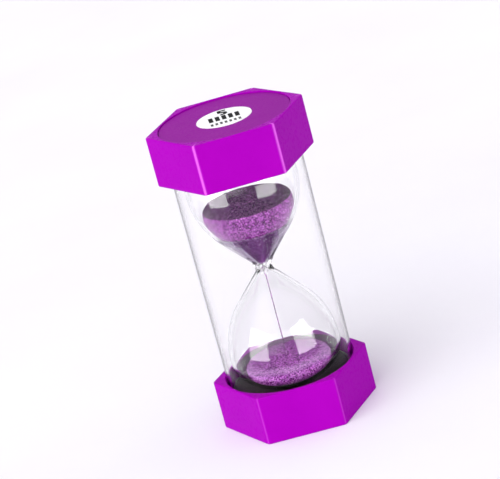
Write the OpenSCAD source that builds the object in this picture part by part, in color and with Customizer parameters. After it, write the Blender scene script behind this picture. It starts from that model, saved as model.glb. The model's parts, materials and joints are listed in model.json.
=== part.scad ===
// Hexagonal-capped sand timer: a sealed two-bulb sand vial inside a clear guard tube,
// closed at each end by a hexagonal sleeve and a flat end disc.
// +Z runs up the timer's axis. The origin is at the centre of the face it stands on.
// Both halves are alike: everything in the top half is the bottom half turned over.

/* [Caps] */
// Overall height, from the bottom rim to the top rim
timer_h = 102; // [98:1:108]
// Width of a cap across its corners, before they are rounded
cap_across_corners = 51; // [50.5:0.5:56]
// Height of each cap
cap_h = 16.3; // [15:0.1:20]
// Radius of the six upright edges
cap_edge_r = 1.6; // [0.5:0.1:3]
// Width of the bevel round both rims of a cap
cap_bevel = 0.4; // [0.2:0.1:0.8]
// How far the end disc lies below the rim
disc_recess = 0.5; // [0.3:0.1:1]
// Thickness of the end disc
disc_t = 2; // [1.5:0.1:2.5]
// Turn of the top cap against the bottom one, as they were glued on
cap_twist = 3.7; // [0:0.1:8]

/* [Guard tube] */
// Outer diameter of the clear tube
tube_od = 42.1; // [41.5:0.1:42.1]
// Wall of the clear tube
tube_wall = 1.3; // [1:0.1:1.5]
// Gap between tube and cap, filled by the glue ring
glue_gap = 0.25; // [0.15:0.05:0.25]
// Height of a glue ring
glue_h = 6; // [3:0.5:8]

/* [Sand vial] */
// Largest diameter of a bulb
bulb_d = 36.2; // [34:0.1:37]
// Half-angle of the outer cone between neck and bulb
cone_angle = 41; // [38:0.5:43]
// Radius of the curve from the cone into the bulb's widest ring
shoulder_r = 27; // [24:0.5:30]
// Depth of the rounded end beyond the widest ring
end_depth = 12.3; // [11:0.1:13]
// Wall of the bulbs
vial_wall = 1; // [0.8:0.1:1.4]
// Diameter of the waist
neck_d = 5.2; // [4.6:0.1:6]
// Diameter of the hole through the waist
orifice_d = 1.2; // [0.8:0.1:1.4]
// Radius at the top of the thick-walled funnel in the upper bulb
funnel_r = 9.7; // [8.5:0.1:10.5]
// Height above the waist of the ledge round the top of the funnel
ledge_h = 14.3; // [14:0.1:15.5]
// Outer diameter of the filling neck on the top bulb
fill_neck_d = 7.2; // [6:0.1:7.5]
// Bore of the filling neck
fill_bore_d = 5; // [4:0.1:5.2]
// Height of the filling neck above the bulb's end
fill_neck_h = 1.6; // [1.2:0.1:2]

/* [Sand] */
// Gap of about one grain between the sand and the wall
grain_gap = 0.12; // [0.08:0.01:0.2]
// Radius of the sand left in the upper bulb
upper_sand_r = 14.9; // [13.5:0.1:15]
// Height of its flat top above the waist
upper_sand_h = 22.3; // [20.5:0.1:24]
// Radius of the heap in the lower bulb
lower_sand_r = 14.2; // [13.5:0.1:14.4]
// Height of the heap's edge above the standing face
lower_edge_z = 18.3; // [17.8:0.1:19]
// Rise of the heap from its edge to its peak
lower_peak = 1.1; // [0.5:0.1:2]
// Thickness of the falling stream
stream_d = 0.45; // [0.3:0.05:0.6]

/* [Labels and cushions] */
// Diameter of the round label on each end
label_d = 17.8; // [14:0.1:20]
// Thickness of a label
label_t = 0.12; // [0.08:0.02:0.2]
// Height to which a foam cushion reaches, measured from the timer's end
cushion_top = 12.6; // [11.5:0.1:13]
// Diameter of a cushion's centre hole
cushion_hole_d = 9; // [8:0.1:10]

/* [Hidden] */
$fn = 120;

mid_z = timer_h / 2;                       // height of the vial's waist
cap_r = cap_across_corners / 2;            // a cap's corner radius before rounding
tube_r = tube_od / 2;
bore_r = tube_r + glue_gap;                // bore of the hexagonal sleeve
tube_in_r = tube_r - tube_wall;
disc_gap = 0.1;                            // running gap round the end disc
disc_r = bore_r - disc_gap;
disc_in_z = disc_recess + disc_t;          // inner face of the bottom end disc
glue_z = disc_in_z + 2.5;                  // start of the bottom glue ring
arc_n = 14;                                // steps in a quarter of a curve
fillet_n = 7;                              // steps in the waist's fillet
edge_n = 6;                                // steps in one rounded upright edge

// ---- the vial's outline, as [radius, height above the waist] ----
bulb_r = bulb_d / 2;
neck_r = neck_d / 2;
orifice_r = orifice_d / 2;
orifice_h = 0.8;                           // half-length of the straight hole
funnel_h = ledge_h - 0.2;                  // the ledge falls a little towards the funnel
// Circle of the shoulder: it ends upright at the widest ring
shoulder_x = bulb_r - shoulder_r;
// The waist's fillet is a circle tangent to both cones, which meet the axis cone_drop past it
cone_drop = 1.8;
fillet_r = (neck_r * cos(cone_angle) - cone_drop * sin(cone_angle)) / (1 - cos(cone_angle));
fillet_x = neck_r + fillet_r;
// Height of the widest ring, where the shoulder's circle is centred
widest_h = (shoulder_r + shoulder_x * cos(cone_angle)) / sin(cone_angle) - cone_drop;
pole_h = widest_h + end_depth;             // outer end of a bulb

// Points on the waist's fillet, from the waist to the cone
function fillet_pts() = [
    for (i = [0 : fillet_n])
        let (a = cone_angle * i / fillet_n)
        [fillet_x - fillet_r * cos(a), fillet_r * sin(a)]
];

// Points on the shoulder, inset by t, from the angle "from" below the widest ring
function shoulder_pts(t, from) = [
    for (i = [0 : arc_n - 1])
        let (a = -from * (1 - i / arc_n))
        [shoulder_x + (shoulder_r - t) * cos(a), widest_h + (shoulder_r - t) * sin(a)]
];
// Points on the rounded end, inset by t, from the widest ring to the radius "to"
function end_pts(t, to) =
    let (full = acos(to / (bulb_r - t)))
    [
        for (i = [0 : arc_n])
            let (a = full * i / arc_n)
            [(bulb_r - t) * cos(a), widest_h + (end_depth - t) * sin(a)]
    ];
// Angle on the inset shoulder at a height
function shoulder_angle(t, h) = asin((widest_h - h) / (shoulder_r - t));
// Radius of the inset shoulder at a height
function shoulder_radius(t, h) = shoulder_x + (shoulder_r - t) * cos(shoulder_angle(t, h));
// Height of the inset rounded end at a radius
function end_height(t, r) = widest_h + (end_depth - t) * sqrt(1 - pow(r / (bulb_r - t), 2));

// Outer outline of one bulb, from the waist to the radius "to" on its end
function outer_half(to) = concat(fillet_pts(), shoulder_pts(0, cone_angle), end_pts(0, to));
// Inner outline of the upper bulb, from the orifice to the radius "to": a funnel in thick glass
// that ends in a small ledge, then an even wall
function inner_upper(to) = concat(
    [[orifice_r, orifice_h], [funnel_r, funnel_h]],
    shoulder_pts(vial_wall, shoulder_angle(vial_wall, ledge_h)),
    end_pts(vial_wall, to)
);
// Inner outline of the lower bulb, from the orifice to the axis: an even wall below a short throat
function inner_lower() = concat(
    [
        [orifice_r, orifice_h],
        [
            fillet_x - (fillet_r + vial_wall) * cos(cone_angle),
            (fillet_r + vial_wall) * sin(cone_angle)
        ]
    ],
    shoulder_pts(vial_wall, cone_angle),
    end_pts(vial_wall, 0)
);
function up(pts) = [for (p = pts) [p[0], mid_z + p[1]]];
function down(pts) = [for (p = pts) [p[0], mid_z - p[1]]];
function reversed(pts) = [for (i = [len(pts) - 1 : -1 : 0]) pts[i]];

// Shows its children in the top half of the timer, turned over about its middle
module at_top() {
    translate([0, 0, timer_h]) mirror([0, 0, 1]) children();
}

// Hexagon with rounded corners, its corners on X and its flats facing Y
module rounded_hexagon(r) {
    corner = r - cap_edge_r / cos(30);     // centre of each rounded corner
    polygon([
        for (k = [0 : 5], i = [0 : edge_n])
            let (a = k * 60 - 30 + i * 60 / edge_n)
            [
                corner * cos(k * 60) + cap_edge_r * cos(a),
                corner * sin(k * 60) + cap_edge_r * sin(a)
            ]
    ]);
}

// Hexagonal sleeve with both rims bevelled and a round bore right through
module hex_cap(turn) {
    inset = 1 - cap_bevel / (cap_r * cos(30));
    color([0.72, 0.02, 0.78])
        rotate([0, 0, turn])
            difference() {
                union() {
                    translate([0, 0, cap_bevel])
                        linear_extrude(cap_h - 2 * cap_bevel) rounded_hexagon(cap_r);
                    translate([0, 0, cap_h - cap_bevel])
                        linear_extrude(cap_bevel, scale = inset) rounded_hexagon(cap_r);
                    translate([0, 0, cap_bevel])
                        mirror([0, 0, 1])
                            linear_extrude(cap_bevel, scale = inset) rounded_hexagon(cap_r);
                }
                translate([0, 0, -1]) cylinder(r = bore_r, h = cap_h + 2);
            }
}
module bottom_hex_cap() {
    hex_cap(-cap_twist / 2);
}
module top_hex_cap() {
    translate([0, 0, timer_h - cap_h]) hex_cap(cap_twist / 2);
}

// Flat disc that closes a sleeve, a little below its rim
module end_disc() {
    color([0.62, 0.13, 0.66])
        translate([0, 0, disc_recess]) cylinder(r = disc_r, h = disc_t);
}
module bottom_end_disc() {
    end_disc();
}
module top_end_disc() {
    at_top() end_disc();
}

// Round paper label on the outside of an end disc
module label() {
    color([0.97, 0.97, 0.97])
        translate([0, 0, disc_recess - label_t]) cylinder(d = label_d, h = label_t);
}
module bottom_label() {
    label();
}
module top_label() {
    at_top() label();
}

// Ring of glue between the tube and a sleeve
module glue_ring() {
    color([0.85, 0.85, 0.8])
        translate([0, 0, glue_z])
            difference() {
                cylinder(r = bore_r, h = glue_h);
                translate([0, 0, -1]) cylinder(r = tube_r, h = glue_h + 2);
            }
}
module bottom_glue_ring() {
    glue_ring();
}
module top_glue_ring() {
    at_top() glue_ring();
}

// Clear guard tube, standing between the two end discs
module outer_tube() {
    color([0.9, 0.92, 0.95, 0.3])
        translate([0, 0, disc_in_z])
            difference() {
                cylinder(r = tube_r, h = timer_h - 2 * disc_in_z);
                translate([0, 0, -1]) cylinder(r = tube_in_r, h = timer_h);
            }
}

// Foam ring on the end disc, dished to hold the rounded end of the vial
module cushion() {
    gap = 0.05;                            // keeps foam and glass clear of each other
    hole_r = cushion_hole_d / 2;
    lip_h = mid_z - cushion_top;           // height of the flat top above the waist
    // Radius at which the dish meets the flat top
    lip_r = (bulb_r + gap) * sqrt(1 - pow((lip_h - widest_h) / (end_depth + gap), 2));
    dish = [
        for (i = [0 : arc_n])
            let (r = hole_r + (lip_r - hole_r) * i / arc_n)
            [r, mid_z - end_height(-gap, r)]
    ];
    color([0.05, 0.06, 0.05])
        rotate_extrude()
            polygon(concat(
                [[hole_r, disc_in_z]],
                dish,
                [[tube_in_r - 0.2, cushion_top], [tube_in_r - 0.2, disc_in_z]]
            ));
}
module bottom_cushion() {
    cushion();
}
module top_cushion() {
    at_top() cushion();
}

// Two-bulb vial: closed at the bottom, with a filling neck at the top
module glass_vial() {
    fill_r = fill_neck_d / 2;
    fill_bore_r = fill_bore_d / 2;
    fill_top = mid_z + pole_h + fill_neck_h;
    color([0.85, 0.9, 0.92, 0.35])
        rotate_extrude()
            polygon(concat(
                reversed(down(outer_half(0))),
                up(outer_half(fill_r)),
                [[fill_r, fill_top], [fill_bore_r, fill_top]],
                reversed(up(inner_upper(fill_bore_r))),
                down(inner_lower())
            ));
}

// Plug pressed into the filling neck, with a flange on top of it
module vial_stopper() {
    fill_top = mid_z + pole_h + fill_neck_h;
    flange_t = 1.2;
    plug_l = 3.5;
    plug_gap = 0.02;
    color([0.9, 0.9, 0.88])
        union() {
            translate([0, 0, fill_top]) cylinder(d = fill_neck_d, h = flange_t);
            translate([0, 0, fill_top - plug_l])
                cylinder(r = fill_bore_d / 2 - plug_gap, h = plug_l);
        }
}

// Sand left in the upper bulb: it follows the wall, then its flank stands clear of the glass
module sand_upper() {
    t = vial_wall + grain_gap;
    touch_h = 16.2;                        // height above the waist where the flank leaves the wall
    edge_r = upper_sand_r - 0.7;           // rounded edge of the flat top
    wall_from = shoulder_angle(t, ledge_h + grain_gap);
    wall_to = shoulder_angle(t, touch_h);
    wall = [
        for (i = [0 : 4])
            let (a = -wall_from + (wall_from - wall_to) * i / 4)
            [shoulder_x + (shoulder_r - t) * cos(a), widest_h + (shoulder_r - t) * sin(a)]
    ];
    // The flank bulges as part of an ellipse between the wall and the flat top
    flank_h = 19;
    flank = [
        for (i = [0 : 10])
            let (a = 90 * i / 10)
            [
                edge_r + (upper_sand_r - edge_r) * cos(a),
                flank_h + (upper_sand_h - flank_h) * sin(a)
            ]
    ];
    dip = 0.5;                             // shallow hollow above the draining funnel
    color([0.42, 0.16, 0.48])
        rotate_extrude()
            polygon(up(concat(
                [[0, 0], [orifice_r - grain_gap, orifice_h]],
                [[funnel_r - grain_gap, funnel_h + grain_gap]],
                wall,
                flank,
                [[edge_r / 3, upper_sand_h], [0, upper_sand_h - dip]]
            )));
}

// Grains falling from the orifice to the peak of the lower heap
module sand_stream() {
    peak_z = lower_edge_z + lower_peak;
    color([0.45, 0.2, 0.5])
        translate([0, 0, peak_z]) cylinder(d = stream_d, h = mid_z - peak_z);
}

// Heap in the rounded end of the lower bulb
module sand_lower() {
    t = vial_wall + grain_gap;
    floor_pts = [
        for (i = [0 : arc_n])
            let (r = lower_sand_r * i / arc_n)
            [r, mid_z - end_height(t, r)]
    ];
    edge_drop = 1.5;                       // height of the rounded edge of the heap
    edge_in = 0.8;
    flank = [
        for (i = [0 : 8])
            let (a = 90 * i / 8)
            [
                lower_sand_r - edge_in + edge_in * cos(a),
                lower_edge_z - edge_drop + edge_drop * sin(a)
            ]
    ];
    color([0.58, 0.3, 0.62])
        rotate_extrude()
            polygon(concat(
                floor_pts,
                flank,
                [[stream_d / 2, lower_edge_z + lower_peak], [0, lower_edge_z + lower_peak]]
            ));
}

bottom_hex_cap();
top_hex_cap();
bottom_end_disc();
top_end_disc();
bottom_label();
top_label();
bottom_glue_ring();
top_glue_ring();
outer_tube();
bottom_cushion();
top_cushion();
glass_vial();
vial_stopper();
sand_upper();
sand_stream();
sand_lower();
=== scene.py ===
"""Looks of a hexagonal-capped sand timer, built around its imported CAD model.

Every length is in metres. Where a piece stands comes from the frame's boxes. The timer is a stack
of bodies of revolution, so most pieces are turned outlines: lists of (radius, height) points.
"""

import json
import math
import random

import bmesh
import bpy
from mathutils import Matrix, Vector, noise

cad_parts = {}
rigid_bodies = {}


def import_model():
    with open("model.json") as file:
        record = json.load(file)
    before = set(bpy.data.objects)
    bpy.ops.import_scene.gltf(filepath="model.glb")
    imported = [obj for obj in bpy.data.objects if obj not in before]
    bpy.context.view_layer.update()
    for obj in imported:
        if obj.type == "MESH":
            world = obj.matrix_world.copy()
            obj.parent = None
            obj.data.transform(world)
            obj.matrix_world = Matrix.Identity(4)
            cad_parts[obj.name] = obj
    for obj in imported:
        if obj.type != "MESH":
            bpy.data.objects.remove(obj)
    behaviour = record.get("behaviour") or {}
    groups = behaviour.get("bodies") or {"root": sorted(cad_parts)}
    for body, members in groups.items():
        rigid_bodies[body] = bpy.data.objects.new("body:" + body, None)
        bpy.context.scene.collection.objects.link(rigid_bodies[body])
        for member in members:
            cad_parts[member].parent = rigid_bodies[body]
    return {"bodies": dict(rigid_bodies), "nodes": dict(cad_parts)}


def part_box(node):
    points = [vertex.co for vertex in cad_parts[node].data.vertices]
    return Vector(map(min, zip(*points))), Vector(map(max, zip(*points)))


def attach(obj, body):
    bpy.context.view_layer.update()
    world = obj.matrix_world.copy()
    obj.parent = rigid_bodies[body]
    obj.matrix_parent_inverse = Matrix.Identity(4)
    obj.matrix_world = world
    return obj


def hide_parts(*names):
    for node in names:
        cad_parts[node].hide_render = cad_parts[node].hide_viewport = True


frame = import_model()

BODY = next(iter(frame["bodies"]))
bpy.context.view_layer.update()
MM = 0.001

# ---- sizes from the frame ----
TIMER_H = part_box("top_hex_cap")[1].z
MID_Z = TIMER_H / 2
CAP_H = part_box("bottom_hex_cap")[1].z
TUBE_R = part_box("outer_tube")[1].x
TUBE_Z = (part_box("outer_tube")[0].z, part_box("outer_tube")[1].z)
BORE_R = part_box("bottom_glue_ring")[1].x
DISC_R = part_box("bottom_end_disc")[1].x
DISC_Z = (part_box("bottom_end_disc")[0].z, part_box("bottom_end_disc")[1].z)
LABEL_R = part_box("bottom_label")[1].x
LABEL_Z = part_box("bottom_label")[0].z
CUSHION_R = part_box("bottom_cushion")[1].x
CUSHION_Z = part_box("bottom_cushion")[1].z
VIAL_Z = (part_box("glass_vial")[0].z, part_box("glass_vial")[1].z)
STOPPER_Z = (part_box("vial_stopper")[0].z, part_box("vial_stopper")[1].z)
UPPER_SAND_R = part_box("sand_upper")[1].x
UPPER_SAND_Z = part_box("sand_upper")[1].z
LOWER_SAND_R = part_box("sand_lower")[1].x
PEAK_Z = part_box("sand_lower")[1].z
STREAM_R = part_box("sand_stream")[1].x
BULB_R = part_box("glass_vial")[1].x

# ---- what the boxes don't hold ----
CAP_R = 25.5 * MM            # hexagon's corner radius before rounding
CAP_EDGE_R = 1.6 * MM        # rounding of the six upright edges
CAP_RIM_R = 0.4 * MM         # rounding of both rims
CAP_TWIST = math.radians(3.7)    # between the two caps
TOP_EDGE_HIGHLIGHT = 1.0               # how strong the painted highlight on a cap's upright edges is, from 0 to 1
# the bottom cap's painted highlight is weaker
BOTTOM_EDGE_HIGHLIGHT = 0.45
TUBE_WALL = 1.3 * MM
CONE_ANGLE = math.radians(41)    # between the vial's outer cones and the axis
CONE_DROP = 1.8 * MM         # how far past the waist the outer cones meet the axis
SHOULDER_R = 27 * MM         # arc that carries a cone over into the bulb's widest ring
END_DEPTH = 12.3 * MM        # from the widest ring to the tip of a bulb's rounded end
VIAL_WALL = 1.0 * MM
NECK_R = 2.6 * MM
ORIFICE_R = 0.6 * MM
ORIFICE_H = 0.8 * MM
FUNNEL = (9.7 * MM, 14.1 * MM)   # wide end of the thick funnel: radius, height above the waist
LEDGE_H = 14.3 * MM
FILL_NECK_R = 3.6 * MM
FILL_BORE_R = 2.5 * MM
CUSHION_HOLE_R = 4.5 * MM
GRAIN_GAP = 0.12 * MM        # between the sand and the glass
GRAIN = 0.34 * MM            # size of one grain of sand
SKIN_STEP = 0.9 * GRAIN      # spacing of the points on the sand's skin
SAND_HEAVE = 0.1 * MM        # how far the sand's skin sinks here and there
LIT_CRESCENT_MIDDLE = Vector((-0.5 * MM, 3.1 * MM))     # painted light: a lit crescent on the heap
LIT_CRESCENT_R = 14.1 * MM
LIT_CRESCENT_HALF_WIDTH = 3.4 * MM
LIT_CRESCENT_DEPTH = 2.6 * MM       # how far below the peak it reaches


# ---------------------------------------------------------------- mesh tools
def new_piece(name, bm, node, material):
    """Makes an object of a bmesh that stands for a CAD node."""
    bmesh.ops.recalc_face_normals(bm, faces=bm.faces)
    mesh = bpy.data.meshes.new(name)
    bm.to_mesh(mesh)
    bm.free()
    mesh.materials.append(material)
    mesh.shade_smooth()
    mesh.set_sharp_from_angle(angle=math.radians(35))
    piece = bpy.data.objects.new(name, mesh)
    piece.modifiers.new("face_normals", "WEIGHTED_NORMAL").keep_sharp = True
    bpy.context.scene.collection.objects.link(piece)
    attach(piece, BODY)
    if node:
        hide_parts(node)
    return piece


def lathe(outline, steps=160):
    """Closed body of revolution about Z. Points on the axis become single vertices."""
    bm = bmesh.new()
    rings = []
    for r, z in outline:
        if r < 1e-7:
            rings.append([bm.verts.new((0, 0, z))])
            continue
        rings.append([
            bm.verts.new((r * math.cos(a), r * math.sin(a), z))
            for a in (2 * math.pi * k / steps for k in range(steps))
        ])
    for i, ring in enumerate(rings):
        after = rings[(i + 1) % len(rings)]
        if len(ring) == 1 and len(after) == 1:
            continue
        for k in range(steps):
            m = (k + 1) % steps
            corners = [ring[k % len(ring)], ring[m % len(ring)]]
            corners += [after[m % len(after)], after[k % len(after)]]
            bm.faces.new(list(dict.fromkeys(corners)))
    return bm


def rounded(points, radii, steps=5):
    """The closed outline through points, each corner rounded by an arc of its own radius."""
    out = []
    count = len(points)
    for i, r in enumerate(radii):
        here = Vector(points[i])
        if r <= 0:
            out.append(tuple(here))
            continue
        back = (Vector(points[i - 1]) - here).normalized()
        on = (Vector(points[(i + 1) % count]) - here).normalized()
        half = back.angle(on) / 2
        centre = here + (back + on).normalized() * (r / math.sin(half))
        start = here + back * (r / math.tan(half)) - centre
        turn = (math.pi - 2 * half) * (1 if back.x * on.y - back.y * on.x < 0 else -1)
        for k in range(steps + 1):
            out.append(tuple(centre + Matrix.Rotation(-turn * k / steps, 2) @ start))
    return out


def turned_over(outline):
    """The same outline in the other half of the timer."""
    return [(r, TIMER_H - z) for r, z in outline]


def resampled(outline, spacing):
    """Points along an open outline no further apart than spacing."""
    out = [outline[0]]
    for (r0, z0), (r1, z1) in zip(outline, outline[1:]):
        count = max(1, round(math.hypot(r1 - r0, z1 - z0) / spacing))
        for k in range(1, count + 1):
            out.append((r0 + (r1 - r0) * k / count, z0 + (z1 - z0) * k / count))
    return out


# ---------------------------------------------------------------- node tools
class Shading:
    """A material's node tree, with short calls for the nodes used here."""

    def __init__(self, name):
        self.material = bpy.data.materials.new(name)
        self.material.use_nodes = True
        self.tree = self.material.node_tree
        self.shader = self.tree.nodes["Principled BSDF"]

    def add(self, kind, **values):
        """New node. Each value goes to the input of that name or, if there is none, to the setting."""
        node = self.tree.nodes.new(kind)
        for key, value in values.items():
            if key in node.inputs:
                node.inputs[key].default_value = value
            else:
                setattr(node, key, value)
        return node

    def link(self, source, target):
        self.tree.links.new(source, target)

    def place(self):
        """Where a point is on its own piece, in metres."""
        return self.add("ShaderNodeTexCoord").outputs["Object"]

    def noise(self, scale, detail):
        node = self.add("ShaderNodeTexNoise", Scale=scale, Detail=detail)
        self.link(self.place(), node.inputs["Vector"])
        return node.outputs["Fac"]

    def cells(self, scale, output="Distance"):
        node = self.add("ShaderNodeTexVoronoi", Scale=scale)
        self.link(self.place(), node.inputs["Vector"])
        return node.outputs[output]

    def ramp(self, factor, *stops):
        """Colours or greys at rising places from 0 to 1."""
        node = self.add("ShaderNodeValToRGB")
        elements = node.color_ramp.elements
        elements[0].position = stops[0][0]
        elements[1].position = stops[-1][0]
        for position, _ in stops[1:-1]:
            elements.new(position)
        for element, (_, colour) in zip(elements, stops):
            if not isinstance(colour, tuple):
                colour = (colour, colour, colour)
            element.color = (*colour, 1)
        self.link(factor, node.inputs["Fac"])
        return node.outputs["Color"]

    def mix(self, factor, a, b, blend="MIX"):
        """Colour a turned into colour b by a factor. Each may be a value or another node's output."""
        node = self.add("ShaderNodeMix", data_type="RGBA", blend_type=blend)
        for socket, value in ((node.inputs[0], factor), (node.inputs[6], a), (node.inputs[7], b)):
            if isinstance(value, bpy.types.NodeSocket):
                self.link(value, socket)
            else:
                socket.default_value = value if isinstance(value, float) else (*value, 1)
        return node.outputs[2]

    def bump(self, height, distance, strength):
        """Relief on the surface, at most as deep as distance."""
        node = self.add("ShaderNodeBump", Strength=strength, Distance=distance)
        self.link(height, node.inputs["Height"])
        self.link(node.outputs["Normal"], self.shader.inputs["Normal"])

    def set(self, **values):
        """Sets the shader's own inputs, to values or to other nodes' outputs."""
        for key, value in values.items():
            socket = self.shader.inputs[key.replace("_", " ")]
            if isinstance(value, bpy.types.NodeSocket):
                self.link(value, socket)
            elif isinstance(value, tuple):
                socket.default_value = (*value, 1)
            else:
                socket.default_value = value


# ---------------------------------------------------------------- materials
def cap_plastic():
    """Vivid purple moulded plastic: a faint ripple on its faces, and a painted highlight, light pink, along
    its upright edges.
    """
    m = Shading("cap_plastic")
    tone = m.ramp(m.noise(60, 3), (0.3, (0.335, 0.0006, 0.39)), (0.7, (0.355, 0.001, 0.41)))
    # painted highlight: the edge attribute turns the upright edges light pink
    edge_highlight = m.add("ShaderNodeAttribute", attribute_name="edge").outputs["Fac"]
    edge_highlight = m.ramp(edge_highlight, (0.25, 0.0), (0.95, 1.0))
    tone = m.mix(edge_highlight, tone, (0.75, 0.12, 0.78))
    m.set(Base_Color=tone, Roughness=m.ramp(m.noise(900, 3), (0.3, 0.26), (0.7, 0.30)))
    m.set(Specular_IOR_Level=0.01)
    m.bump(m.noise(250, 2), 0.005 * MM, 0.3)
    return m.material


def disc_plastic():
    """The same plastic with a fine satin grain."""
    m = Shading("disc_plastic")
    tone = m.ramp(m.noise(90, 4), (0.3, (0.255, 0.006, 0.28)), (0.7, (0.275, 0.009, 0.30)))
    m.set(Base_Color=tone, Roughness=m.ramp(m.noise(1500, 3), (0.3, 0.42), (0.7, 0.55)))
    m.set(Specular_IOR_Level=0.03)
    m.bump(m.cells(2600), 0.01 * MM, 0.4)
    return m.material


def clear_plastic():
    """Polished acrylic: its outer skin is clear face on and darkens where it is seen edge on."""
    m = Shading("clear_plastic")
    edge = m.add("ShaderNodeLayerWeight", Blend=0.5).outputs["Facing"]
    flat = m.add("ShaderNodeVectorMath", operation="MULTIPLY")
    flat.inputs[1].default_value = (1, 1, 0)
    m.link(m.place(), flat.inputs[0])
    radius = m.add("ShaderNodeVectorMath", operation="LENGTH")
    m.link(flat.outputs["Vector"], radius.inputs[0])
    outside = m.add("ShaderNodeMath", operation="GREATER_THAN")
    m.link(radius.outputs["Value"], outside.inputs[0])
    outside.inputs[1].default_value = TUBE_R - TUBE_WALL / 2
    tint = m.ramp(edge, (0.5, 1.0), (0.62, 0.9), (0.72, 0.7), (0.8, 0.25), (0.9, 0.03))
    tint = m.mix(outside.outputs["Value"], (1.0, 1.0, 1.0), tint)
    m.set(Base_Color=tint, Roughness=0.0, IOR=1.12, Transmission_Weight=1.0, Specular_Tint=(0.0, 0.0, 0.0))
    m.bump(m.noise(120, 2), 0.004 * MM, 0.3)
    return m.material


def vial_glass():
    """Blown glass with the slow waves of its wall, tinted a darker grey-purple round the funnel."""
    m = Shading("vial_glass")
    edge = m.add("ShaderNodeLayerWeight", Blend=0.5).outputs["Facing"]
    tint = m.ramp(edge, (0.6, 1.0), (0.9, (0.8, 0.82, 0.82)))
    height = m.add("ShaderNodeSeparateXYZ")
    m.link(m.place(), height.inputs["Vector"])
    along = m.add("ShaderNodeMapRange")
    m.link(height.outputs["Z"], along.inputs["Value"])
    along.inputs["From Min"].default_value = MID_Z
    along.inputs["From Max"].default_value = MID_Z + LEDGE_H
    # darker grey-purple tint over the funnel's height
    funnel_tint = m.ramp(along.outputs["Result"], (0.08, 0.0), (0.2, 1.0), (0.97, 1.0), (1.0, 0.0))
    tint = m.mix(funnel_tint, tint, (0.42, 0.35, 0.46))
    m.set(Base_Color=tint, Roughness=0.0, IOR=1.35, Transmission_Weight=1.0, Specular_Tint=(0.9, 0.9, 0.9))
    m.bump(m.noise(90, 2), 0.01 * MM, 0.4)
    return m.material


def sand_grains(name, dark, mid, light):
    """Dyed grains, each a shade of its own, with glitter flakes of a lighter purple and painted light on
    the skin where its attribute says.
    """
    m = Shading(name)
    shade = m.cells(1 / GRAIN, "Color")
    grey = m.add("ShaderNodeSeparateColor")
    m.link(shade, grey.inputs["Color"])
    tone = m.ramp(grey.outputs["Red"], (0.0, dark), (0.5, mid), (1.0, light))
    patches = m.ramp(m.noise(260, 3), (0.35, 0.88), (0.65, 1.0))
    tone = m.mix(1.0, tone, patches, "MULTIPLY")
    flakes = m.ramp(grey.outputs["Green"], (0.9, 0.0), (0.93, 1.0))
    tone = m.mix(flakes, tone, (0.36, 0.13, 0.40))
    # painted light: a per-vertex attribute mixes in a lighter tone
    painted_light = m.add("ShaderNodeAttribute", attribute_name="painted_light").outputs["Fac"]
    lit_tone = m.ramp(grey.outputs["Red"], (0.0, (0.18, 0.06, 0.21)), (1.0, (0.66, 0.38, 0.74)))
    tone = m.mix(painted_light, tone, lit_tone)
    m.set(Base_Color=tone, Roughness=m.ramp(grey.outputs["Blue"], (0.0, 0.45), (1.0, 0.85)))
    m.set(Specular_IOR_Level=0.0)
    m.bump(m.cells(1 / GRAIN), 0.08 * MM, 0.7)
    return m.material


def black_foam():
    """Closed-cell foam: black with a pitted skin."""
    m = Shading("black_foam")
    m.set(Base_Color=m.ramp(m.noise(500, 5), (0.3, (0.013, 0.01, 0.013)), (0.75, (0.029, 0.022, 0.029))))
    m.set(Roughness=m.ramp(m.cells(1500), (0.0, 0.75), (1.0, 0.95)), Specular_IOR_Level=0.3)
    m.bump(m.cells(1400), 0.12 * MM, 0.8)
    return m.material


def label_paper():
    """Coated white paper with its fibres just showing."""
    m = Shading("label_paper")
    m.set(Base_Color=m.ramp(m.noise(2500, 6), (0.3, (0.86, 0.86, 0.86)), (0.7, (0.93, 0.93, 0.93))))
    m.set(Roughness=m.ramp(m.noise(1800, 4), (0.3, 0.5), (0.7, 0.65)))
    m.bump(m.noise(3500, 6), 0.006 * MM, 0.5)
    return m.material


def ink(name, grey):
    """Printed ink: a little uneven in its cover."""
    m = Shading(name)
    m.set(Base_Color=m.ramp(m.noise(3000, 4), (0.3, grey), (0.7, grey * 1.6)), Roughness=0.6)
    m.set(Specular_IOR_Level=0.05)
    return m.material


def set_glue():
    """Cloudy set glue."""
    m = Shading("set_glue")
    m.set(Base_Color=m.ramp(m.noise(700, 4), (0.3, (0.72, 0.72, 0.66)), (0.7, (0.85, 0.85, 0.8))))
    m.set(Roughness=0.35, Subsurface_Weight=0.3)
    m.bump(m.noise(900, 3), 0.03 * MM, 0.6)
    return m.material


def stopper_rubber():
    """Off-white rubber with a fine bloom."""
    m = Shading("stopper_rubber")
    m.set(Base_Color=m.ramp(m.noise(800, 4), (0.3, (0.68, 0.67, 0.62)), (0.7, (0.78, 0.77, 0.72))))
    m.set(Roughness=m.ramp(m.noise(2000, 3), (0.3, 0.55), (0.7, 0.75)))
    m.bump(m.noise(3000, 3), 0.01 * MM, 0.6)
    return m.material


def studio_floor():
    """Pale lilac-white board with the faintest mottling."""
    m = Shading("studio_floor")
    m.set(Base_Color=m.ramp(m.noise(9, 4), (0.3, (0.85, 0.83, 0.88)), (0.7, (0.88, 0.87, 0.90))))
    m.set(Roughness=0.9, Specular_IOR_Level=0.1)
    return m.material


# ---------------------------------------------------------------- the vial's outline
# centre of the shoulder's arc: distance from the axis, and height above the waist, where the bulb is widest
SHOULDER_X = BULB_R - SHOULDER_R
WIDEST_H = (SHOULDER_R + SHOULDER_X * math.cos(CONE_ANGLE)) / math.sin(CONE_ANGLE) - CONE_DROP
# arc that rounds the outside of the waist
FILLET_R = (NECK_R * math.cos(CONE_ANGLE) - CONE_DROP * math.sin(CONE_ANGLE)) / (1 - math.cos(CONE_ANGLE))


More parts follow.
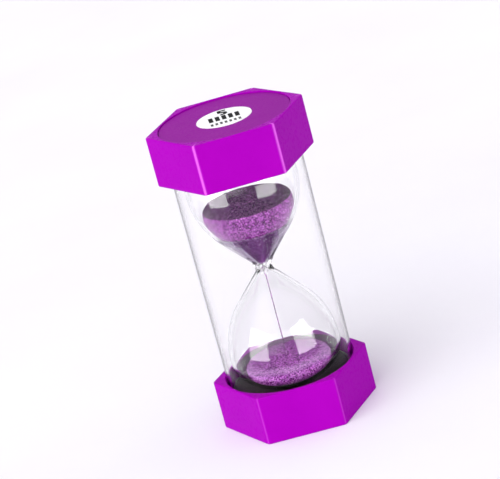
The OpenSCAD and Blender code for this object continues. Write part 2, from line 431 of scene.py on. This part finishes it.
def shoulder_angle(inset, h):
    """Angle below the widest ring at which the inset shoulder reaches a height."""
    return math.asin((WIDEST_H - h) / (SHOULDER_R - inset))


def shoulder(inset, start, end=0.0, steps=40):
    """Points on the inset shoulder between two angles below the widest ring."""
    out = []
    for k in range(steps + 1):
        a = -(start + (end - start) * k / steps)
        r = SHOULDER_R - inset
        out.append((SHOULDER_X + r * math.cos(a), WIDEST_H + r * math.sin(a)))
    return out


def bulb_end(inset, to_r, steps=40):
    """Points on the inset rounded end, from the widest ring to a radius."""
    full = math.acos(to_r / (BULB_R - inset))
    angles = [full * k / steps for k in range(1, steps + 1)]
    return [((BULB_R - inset) * math.cos(a), WIDEST_H + (END_DEPTH - inset) * math.sin(a)) for a in angles]


def end_height(inset, r):
    """Height above the waist of the inset rounded end at a radius."""
    return WIDEST_H + (END_DEPTH - inset) * math.sqrt(1 - (r / (BULB_R - inset)) ** 2)


def outer_half(to_r, steps=16):
    """Outside of one bulb, as (radius, height above the waist)."""
    fillet = [
        (NECK_R + FILLET_R * (1 - math.cos(a)), FILLET_R * math.sin(a))
        for a in (CONE_ANGLE * k / steps for k in range(steps + 1))
    ]
    return fillet + shoulder(0, CONE_ANGLE) + bulb_end(0, to_r)


def inner_upper(to_r):
    """Inside of the upper bulb: a funnel in thick glass, then an even wall above a small ledge."""
    wall = shoulder(VIAL_WALL, shoulder_angle(VIAL_WALL, LEDGE_H))
    return [(ORIFICE_R, ORIFICE_H), FUNNEL] + wall + bulb_end(VIAL_WALL, to_r)


def inner_lower(to_r):
    """Inside of the lower bulb: an even wall from just beyond the orifice."""
    throat = (
        NECK_R + FILLET_R * (1 - math.cos(CONE_ANGLE)) - VIAL_WALL * math.cos(CONE_ANGLE),
        (FILLET_R + VIAL_WALL) * math.sin(CONE_ANGLE),
    )
    return [(ORIFICE_R, ORIFICE_H), throat] + shoulder(VIAL_WALL, CONE_ANGLE) + bulb_end(VIAL_WALL, to_r)


def up(points):
    """Points of the upper bulb, from heights above the waist."""
    return [(r, MID_Z + h) for r, h in points]


def down(points):
    """Points of the lower bulb, from heights below the waist."""
    return [(r, MID_Z - h) for r, h in points]


# ---------------------------------------------------------------- pieces
def hexagon(steps=10, flats=5):
    """Points round the rounded hexagon, each with its outward direction and how strong its painted
    highlight is.
    """
    centre_r = CAP_R - CAP_EDGE_R / math.cos(math.pi / 6)
    points = []
    for k in range(6):
        corner = math.pi / 3 * k
        centre = centre_r * Vector((math.cos(corner), math.sin(corner)))
        for i in range(steps + 1):
            a = corner + math.pi / 6 * (2 * i / steps - 1)
            out = Vector((math.cos(a), math.sin(a)))
            points.append((centre + CAP_EDGE_R * out, out, 1 - abs(2 * i / steps - 1)))
        last = points[-1][0]
        following = centre_r * Vector((math.cos(corner + math.pi / 3), math.sin(corner + math.pi / 3)))
        first = following + CAP_EDGE_R * out
        for i in range(1, flats):
            points.append((last.lerp(first, i / flats), out, 0.0))
    return points


def cap_sleeve(name, node, z0, turn, highlight_strength, material, steps=5):
    """Hexagonal sleeve with rounded rims, bored through, with a painted highlight on its upright edges,
    scaled by the given strength.
    """
    z1 = z0 + CAP_H
    bore_rim = 0.2 * MM
    quarter = [math.pi / 2 * k / steps for k in range(steps + 1)]
    bm = bmesh.new()
    edge = bm.verts.layers.float.new("edge")
    loops = []
    for point, out, edge_highlight in hexagon():
        ray = point.normalized()
        loop = []
        for a in reversed(quarter):
            loop.append((point - out * CAP_RIM_R * (1 - math.cos(a)), z0 + CAP_RIM_R * (1 - math.sin(a))))
        for a in quarter:
            loop.append((point - out * CAP_RIM_R * (1 - math.cos(a)), z1 - CAP_RIM_R * (1 - math.sin(a))))
        for a in quarter:
            loop.append((ray * (BORE_R + bore_rim * (1 - math.sin(a))), z1 - bore_rim * (1 - math.cos(a))))
        for a in reversed(quarter):
            loop.append((ray * (BORE_R + bore_rim * (1 - math.sin(a))), z0 + bore_rim * (1 - math.cos(a))))
        verts = [bm.verts.new((p.x, p.y, z)) for p, z in loop]
        # painted highlight: how strongly each outer vertex of the upright edges is lightened
        for vert in verts[:2 * len(quarter)]:
            vert[edge] = edge_highlight * highlight_strength
        loops.append(verts)
    for i, loop in enumerate(loops):
        after = loops[(i + 1) % len(loops)]
        for k in range(len(loop)):
            m = (k + 1) % len(loop)
            bm.faces.new((loop[k], after[k], after[m], loop[m]))
    bmesh.ops.rotate(bm, verts=bm.verts, matrix=Matrix.Rotation(turn, 3, "Z"))
    new_piece(name, bm, node, material)


def end_disc_outline():
    """Flat disc that closes the bottom sleeve, its outer edges broken."""
    z0, z1 = DISC_Z
    return rounded([(0, z0), (DISC_R, z0), (DISC_R, z1), (0, z1)], [0, 0.15 * MM, 0.15 * MM, 0])


def label_outline():
    """Thin sticker under the bottom disc."""
    z0, z1 = LABEL_Z, DISC_Z[0]
    return rounded([(0, z0), (LABEL_R, z0), (LABEL_R, z1), (0, z1)], [0, 0.03 * MM, 0, 0], 3)


def cushion_outline(steps=24):
    """Foam ring, dished to the vial's rounded end."""
    gap = 0.05 * MM
    lip_h = MID_Z - CUSHION_Z
    lip_r = (BULB_R + gap) * math.sqrt(1 - ((lip_h - WIDEST_H) / (END_DEPTH + gap)) ** 2)
    dish = []
    for k in range(steps + 1):
        r = CUSHION_HOLE_R + (lip_r - CUSHION_HOLE_R) * k / steps
        dish.append((r, MID_Z - end_height(-gap, r)))
    top = CUSHION_Z - 0.01 * MM
    edge = rounded(
        [(lip_r, top), (CUSHION_R, top), (CUSHION_R, DISC_Z[1]), (CUSHION_HOLE_R, DISC_Z[1])],
        [0, 0.8 * MM, 0.3 * MM, 0.3 * MM],
    )
    return dish[1:-1] + edge


def tube_outline():
    """Wall of the guard tube."""
    z0, z1 = TUBE_Z
    inner = TUBE_R - TUBE_WALL
    return rounded([(inner, z0), (TUBE_R, z0), (TUBE_R, z1), (inner, z1)], [0.15 * MM] * 4, 3)


def vial_outline():
    """The whole vial: closed below, with its filling neck above."""
    neck_top = VIAL_Z[1]
    outside = list(reversed(down(outer_half(0)))) + up(outer_half(FILL_NECK_R))[1:]
    neck = [(FILL_NECK_R, neck_top - 0.2 * MM), (FILL_NECK_R - 0.2 * MM, neck_top), (FILL_BORE_R, neck_top)]
    inside = list(reversed(up(inner_upper(FILL_BORE_R)))) + down(inner_lower(0))
    return outside + neck + inside


def crimped(bm):
    """Pinches lumps into the outside of the vial's waist, as the burner leaves it."""
    reach = 2.6 * MM
    middle_h = 1.1 * MM
    depth = 0.09
    fillet_h = FILLET_R * math.sin(CONE_ANGLE)
    for vert in bm.verts:
        r = math.hypot(vert.co.x, vert.co.y)
        h = vert.co.z - MID_Z
        if abs(h) < fillet_h:
            outer_r = NECK_R + FILLET_R - math.sqrt(FILLET_R ** 2 - h ** 2)
        else:
            outer_r = (abs(h) + CONE_DROP) * math.tan(CONE_ANGLE)
        if r < outer_r - VIAL_WALL / 2:
            continue
        a = math.atan2(vert.co.y, vert.co.x)
        fade = math.exp(-(((h - middle_h) / reach) ** 6))
        lump = math.sin(6 * a + 1500 * h) + math.sin(11 * a - 2600 * h + 1)
        vert.co.xy *= 1 + depth * lump * fade
    return bm


def stopper_outline():
    """Plug in the filling neck, with a head that covers the neck's rim."""
    z0, z1 = STOPPER_Z
    rim_z = VIAL_Z[1]
    plug_r = FILL_BORE_R - 0.02 * MM
    return rounded(
        [(0, z0), (plug_r, z0), (plug_r, rim_z), (FILL_NECK_R, rim_z), (FILL_NECK_R, z1), (0, z1)],
        [0, 0.4 * MM, 0, 0.15 * MM, 0.3 * MM, 0],
    )


def sand_body(name, node, outline, seed, material, painted_light_at):
    """Turned body of sand, its skin rough by the grain and slowly uneven, with painted light where the
    given function says.
    """
    chance = random.Random(seed)
    steps = round(2 * math.pi * LOWER_SAND_R / SKIN_STEP)
    bm = lathe(resampled(outline, SKIN_STEP), steps)
    bmesh.ops.recalc_face_normals(bm, faces=bm.faces)
    bm.normal_update()
    moves = []
    for vert in bm.verts:
        slow = noise.noise(vert.co * 260 + Vector((seed, 0, 0)))
        moves.append(-SAND_HEAVE * (0.5 + 0.5 * slow) - chance.random() * GRAIN * 0.25)
    normals = [vert.normal.copy() for vert in bm.verts]
    layer = bm.verts.layers.float.new("painted_light")
    for vert, normal, move in zip(bm.verts, normals, moves):
        vert.co += normal * move
        vert[layer] = painted_light_at(vert.co)
    new_piece(name, bm, node, material)


def lit_crescent_at(place):
    """Painted light: sand lightened in a crescent across the heap."""
    if place.z < PEAK_Z - LIT_CRESCENT_DEPTH:
        return 0.0
    off = (place.xy - LIT_CRESCENT_MIDDLE).length - LIT_CRESCENT_R + 1.1 * MM * noise.noise(place * 400)
    return 0.5 * max(0.0, 1 - (off / LIT_CRESCENT_HALF_WIDTH) ** 2)


def funnel_light_at(place):
    """Painted light: sand lightened in streaks down the funnel."""
    if place.z > MID_Z + LEDGE_H:
        return 0.0
    return 0.62 + 0.34 * math.sin(7 * math.atan2(place.y, place.x))


def upper_sand_outline(steps=12):
    """Sand in the upper bulb: it fills the funnel and stands clear of the glass above."""
    inset = VIAL_WALL + GRAIN_GAP
    top_h = UPPER_SAND_Z - MID_Z
    touch_h = 16.2 * MM
    flank_h = 19 * MM
    edge_r = UPPER_SAND_R - 0.6 * MM
    inner_r = edge_r - 0.1 * MM
    funnel = [
        (0.02 * MM, 0.02 * MM),
        (ORIFICE_R - GRAIN_GAP, ORIFICE_H),
        (FUNNEL[0] - GRAIN_GAP, FUNNEL[1] + GRAIN_GAP),
    ]
    wall = shoulder(inset, shoulder_angle(inset, LEDGE_H), shoulder_angle(inset, touch_h), 6)
    flank = []
    for k in range(steps + 1):
        a = math.pi / 2 * k / steps
        r = inner_r + (UPPER_SAND_R - inner_r) * math.cos(a)
        flank.append((r, flank_h + (top_h - flank_h) * math.sin(a)))
    hollow = [(edge_r / 3, top_h), (0, top_h - 0.5 * MM)]
    return [(0, MID_Z)] + up(funnel + wall + flank + hollow)


def lower_sand_outline(steps=20, edge_steps=8):
    """Low heap on the rounded end of the lower bulb."""
    inset = VIAL_WALL + GRAIN_GAP
    ground = []
    for k in range(steps + 1):
        r = LOWER_SAND_R * k / steps
        ground.append((r, MID_Z - end_height(inset, r)))
    edge_z = PEAK_Z - 1.1 * MM
    edge_in = 0.8 * MM
    edge_drop = 1.5 * MM
    flank = []
    for k in range(edge_steps + 1):
        a = math.pi / 2 * k / edge_steps
        flank.append((LOWER_SAND_R - edge_in * (1 - math.cos(a)), edge_z - edge_drop * (1 - math.sin(a))))
    return ground + flank + [(STREAM_R, PEAK_Z), (0, PEAK_Z)]


def falling_grains(material, count=1300):
    """The stream: separate grains, close together at the waist and looser as they fall."""
    chance = random.Random(5)
    bm = bmesh.new()
    length = MID_Z - PEAK_Z
    for _ in range(count):
        fall = chance.random()
        z = MID_Z - length * (0.005 + 0.99 * fall)
        spread = STREAM_R * (0.35 + 0.35 * fall) * math.sqrt(chance.random())
        a = chance.random() * 2 * math.pi
        size = GRAIN * (0.2 + 0.12 * chance.random())
        spot = Matrix.Translation((spread * math.cos(a), spread * math.sin(a), z))
        bmesh.ops.create_icosphere(bm, subdivisions=1, radius=size, matrix=spot)
    new_piece("falling_grains", bm, "sand_stream", material)


def stroke(bm, path, width, thickness):
    """Flat printed stroke along a path, with square ends. It lies on the XY plane."""
    sides = []
    for i, p in enumerate(path):
        before = path[max(i - 1, 0)]
        after = path[min(i + 1, len(path) - 1)]
        along = (Vector(after) - Vector(before)).normalized()
        side = Vector((-along.y, along.x)) * width / 2
        sides.append((Vector(p) + side, Vector(p) - side))
    rings = []
    for a, b in sides:
        corners = ((a, 0), (b, 0), (b, thickness), (a, thickness))
        rings.append([bm.verts.new((v.x, v.y, h)) for v, h in corners])
    for r0, r1 in zip(rings, rings[1:]):
        for k in range(4):
            m = (k + 1) % 4
            bm.faces.new((r0[k], r0[m], r1[m], r1[k]))
    bm.faces.new(rings[0])
    bm.faces.new(reversed(rings[-1]))


def minute_mark(name, node, top, paper, black, grey):
    """Label with a generic mark: the numeral five, a row of five bars and a row of seven short ticks."""
    outline = label_outline()
    new_piece(name, lathe(turned_over(outline) if top else outline), node, paper)
    film = 0.02 * MM
    bold = bmesh.new()
    thin = bmesh.new()
    s = LABEL_R / 9          # the mark is drawn for a label with a radius of 9
    bowl = [
        (math.cos(math.radians(a)) * 1.05 * s, 4.6 * s + math.sin(math.radians(a)) * 1.1 * s)
        for a in range(125, -141, -15)
    ]
    stroke(bold, [(1.4 * s, 7.4 * s), (-1.4 * s, 7.4 * s)], 1.2 * s, film)
    stroke(bold, [(-0.85 * s, 7.4 * s), (-0.85 * s, 5.2 * s)], 1.1 * s, film)
    stroke(bold, bowl, 1.25 * s, film)
    for k in range(5):
        x = (k - 2) * 2.15 * s
        stroke(bold, [(x, -2.2 * s), (x, 2.4 * s)], 1.4 * s, film)
    for k in range(7):
        x = (k - 3) * 1.5 * s
        stroke(thin, [(x - 0.4 * s, -5.2 * s), (x + 0.4 * s, -5.2 * s)], 2.2 * s, film)
    z = TIMER_H - LABEL_Z if top else LABEL_Z
    for bm, kind, material in ((bold, "bars", black), (thin, "dots", grey)):
        if top:
            bmesh.ops.rotate(bm, verts=bm.verts, matrix=Matrix.Rotation(CAP_TWIST / 2, 3, "Z"))
        else:
            bmesh.ops.rotate(bm, verts=bm.verts, matrix=Matrix.Rotation(math.pi, 3, "Y"))
        bmesh.ops.translate(bm, verts=bm.verts, vec=(0, 0, z))
        piece = new_piece(f"{name}_{kind}", bm, None, material)
        piece.data.shade_flat()


# ---------------------------------------------------------------- the timer
PLASTIC = cap_plastic()
SATIN = disc_plastic()
PAPER = label_paper()
BLACK_INK = ink("black_ink", 0.012)
GREY_INK = ink("grey_ink", 0.07)
FOAM = black_foam()
SAND = sand_grains("sand_grains", (0.02, 0.0015, 0.024), (0.12, 0.014, 0.137), (0.3, 0.085, 0.335))
# painted light: the same sand with its tones raised by about a third, so the heap looks more brightly lit
LIT_SAND = sand_grains("lit_sand", (0.035, 0.004, 0.041), (0.175, 0.024, 0.2), (0.42, 0.115, 0.475))

cap_sleeve("bottom_cap", "bottom_hex_cap", 0, -CAP_TWIST / 2, BOTTOM_EDGE_HIGHLIGHT, PLASTIC)
cap_sleeve("top_cap", "top_hex_cap", TIMER_H - CAP_H, CAP_TWIST / 2, TOP_EDGE_HIGHLIGHT, PLASTIC)
new_piece("bottom_disc", lathe(end_disc_outline()), "bottom_end_disc", SATIN)
new_piece("top_disc", lathe(turned_over(end_disc_outline())), "top_end_disc", SATIN)
minute_mark("bottom_mark", "bottom_label", False, PAPER, BLACK_INK, GREY_INK)
minute_mark("top_mark", "top_label", True, PAPER, BLACK_INK, GREY_INK)
new_piece("guard_tube", lathe(tube_outline(), 256), "outer_tube", clear_plastic())
for ring_name, ring_node, ring_outline in (
    ("bottom_foam", "bottom_cushion", cushion_outline()),
    ("top_foam", "top_cushion", turned_over(cushion_outline())),
):
    foam_ring = new_piece(ring_name, lathe(ring_outline), ring_node, FOAM)
new_piece("sand_vial", crimped(lathe(vial_outline(), 256)), "glass_vial", vial_glass())
new_piece("vial_plug", lathe(stopper_outline()), "vial_stopper", stopper_rubber())
sand_body("sand_above", "sand_upper", upper_sand_outline(), 3, SAND, funnel_light_at)
sand_body("sand_below", "sand_lower", lower_sand_outline(), 8, LIT_SAND, lit_crescent_at)
falling_grains(SAND)
GLUE = set_glue()
for glue_node in ("bottom_glue_ring", "top_glue_ring"):
    frame["nodes"][glue_node].material_slots[0].material = GLUE

# ---------------------------------------------------------------- floor, light and camera
AZIMUTH = math.radians(-1.4)
ELEVATION = math.radians(20.4)
ROLL = math.radians(-14.9)
DISTANCE = 0.749
LENS = 169.8
AIM_LEFT = 4.2 * MM          # the camera looks a little to the left of and above the timer's middle
AIM_UP = 8.1 * MM

HORIZON = (0.92, 0.90, 0.95)
OVERHEAD = (0.70, 0.69, 0.73)
KEY = (math.radians(-38), math.radians(30))      # azimuth and elevation of the large soft light
KEY_SPREAD = math.cos(math.radians(50))
KEY_LIGHT = 2.6
WINDOW_W = 0.14              # softboxes beside the camera that show in the glass
WINDOW_H = 0.075
WINDOW_GLOW = 18             # radiance
ABOVE_H = 0.06               # the dimmer softbox on top of each
ABOVE_GLOW = 10
WINDOW_AWAY = 0.187
WINDOW_SIDES = (("left", math.radians(-57)), ("right", math.radians(42)))


def add_floor():
    """Plain floor, wide enough to fill the picture."""
    bm = bmesh.new()
    bmesh.ops.create_grid(bm, x_segments=8, y_segments=8, size=3)
    mesh = bpy.data.meshes.new("floor")
    bm.to_mesh(mesh)
    bm.free()
    mesh.materials.append(studio_floor())
    floor = bpy.data.objects.new("floor", mesh)
    bpy.context.scene.collection.objects.link(floor)


def direction(azimuth, elevation):
    """From the timer towards a light or the camera. Azimuth 0 is the front, -Y."""
    return Vector((
        math.sin(azimuth) * math.cos(elevation),
        -math.cos(azimuth) * math.cos(elevation),
        math.sin(elevation),
    ))


def add_window(name, azimuth, foot, height, radiance):
    """Upright softbox that shows in the glass and lights nothing else. Foot is its lower edge's height."""
    data = bpy.data.lights.new(name, "AREA")
    data.shape = "RECTANGLE"
    data.size = WINDOW_W
    data.size_y = height
    data.energy = radiance * math.pi * WINDOW_W * height
    light = bpy.data.objects.new(name, data)
    bpy.context.scene.collection.objects.link(light)
    light.location = direction(azimuth, 0) * WINDOW_AWAY + Vector((0, 0, foot + height / 2))
    light.rotation_euler = (math.pi / 2, 0, azimuth)
    light.visible_camera = False
    light.visible_diffuse = False


def add_world():
    """Pale surround, dimmer overhead, with one large soft light to the left of the camera."""
    world = bpy.data.worlds.new("studio")
    bpy.context.scene.world = world
    world.use_nodes = True
    tree = world.node_tree

    def ramp(factor, *stops):
        node = tree.nodes.new("ShaderNodeValToRGB")
        node.color_ramp.interpolation = "EASE"
        for element, (position, colour) in zip(node.color_ramp.elements, stops):
            element.position = position
            element.color = (*colour, 1)
        tree.links.new(factor, node.inputs["Fac"])
        return node.outputs["Color"]

    place = tree.nodes.new("ShaderNodeTexCoord").outputs["Generated"]
    split = tree.nodes.new("ShaderNodeSeparateXYZ")
    tree.links.new(place, split.inputs["Vector"])
    surround = ramp(split.outputs["Z"], (0.0, HORIZON), (0.9, OVERHEAD))
    towards = tree.nodes.new("ShaderNodeVectorMath")
    towards.operation = "DOT_PRODUCT"
    towards.inputs[1].default_value = direction(*KEY)
    tree.links.new(place, towards.inputs[0])
    key = ramp(towards.outputs["Value"], (KEY_SPREAD, (0, 0, 0)), (1.0, (KEY_LIGHT,) * 3))
    total = tree.nodes.new("ShaderNodeVectorMath")
    tree.links.new(surround, total.inputs[0])
    tree.links.new(key, total.inputs[1])
    tree.links.new(total.outputs["Vector"], tree.nodes["Background"].inputs["Color"])


def add_camera():
    """Camera at the front of the timer, rolled so that the timer leans in the picture."""
    back = direction(AZIMUTH, ELEVATION)
    level = (-back).cross(Vector((0, 0, 1))).normalized()
    steep = level.cross(-back)
    right = math.cos(ROLL) * level + math.sin(ROLL) * steep
    above = -math.sin(ROLL) * level + math.cos(ROLL) * steep
    centre = Vector((0, 0, MID_Z))
    eye = centre + back * DISTANCE
    aim = centre - right * AIM_LEFT + above * AIM_UP
    ahead = (aim - eye).normalized()
    right = (right - ahead * right.dot(ahead)).normalized()
    above = right.cross(ahead)
    data = bpy.data.cameras.new("camera")
    data.lens = LENS
    camera = bpy.data.objects.new("camera", data)
    bpy.context.scene.collection.objects.link(camera)
    turn = Matrix((right, above, -ahead)).transposed()
    camera.matrix_world = Matrix.Translation(eye) @ turn.to_4x4()
    bpy.context.scene.camera = camera


add_floor()
add_world()
for side, azimuth in WINDOW_SIDES:
    add_window(f"{side}_window", azimuth, 0, WINDOW_H, WINDOW_GLOW)
    add_window(f"{side}_window_above", azimuth, WINDOW_H, ABOVE_H, ABOVE_GLOW)
add_camera()
bpy.context.scene.view_settings.view_transform = "Standard"
